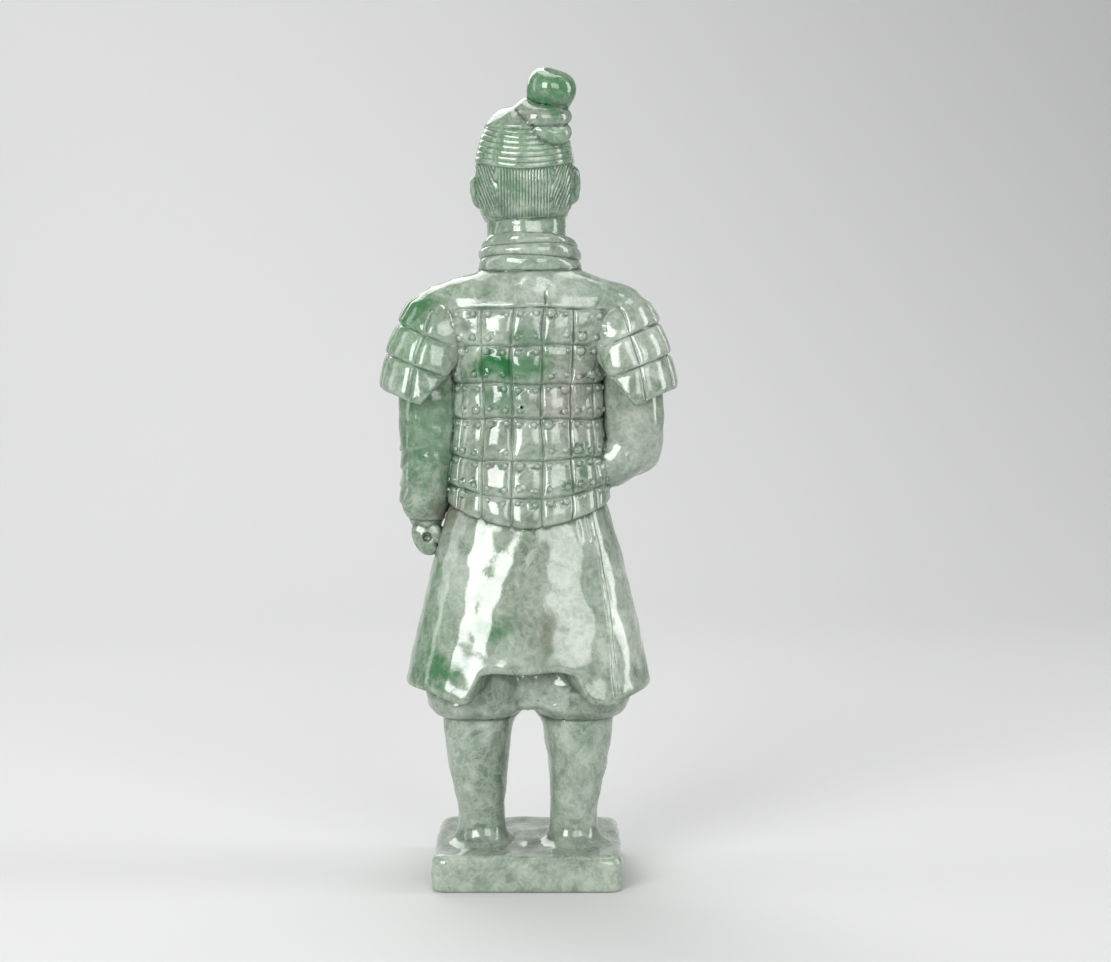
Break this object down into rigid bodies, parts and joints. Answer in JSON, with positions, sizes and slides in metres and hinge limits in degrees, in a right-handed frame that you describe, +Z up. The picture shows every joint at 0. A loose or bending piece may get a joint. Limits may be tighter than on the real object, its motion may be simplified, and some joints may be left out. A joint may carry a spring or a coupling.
{
  "type": "soldier figurine",
  "caption": "Standing soldier in plate armour over a flared robe, hair in a topknot, carved from solid jadeite together with its square plinth.",
  "frame": {"origin": "middle of the plinth's flat underside", "axes": "+Z up along the figure's height, the soldier faces -Y, +X towards the soldier's own left hand"},
  "size_m": [0.0734, 0.0488, 0.2],
  "materials": {
    "jadeite": "polished jadeite, pale grey-green with emerald, white and grey-lilac clouds"
  },
  "bodies": {
    "root": {"jadeite_soldier": "jadeite"}
  },
  "joints": []
}
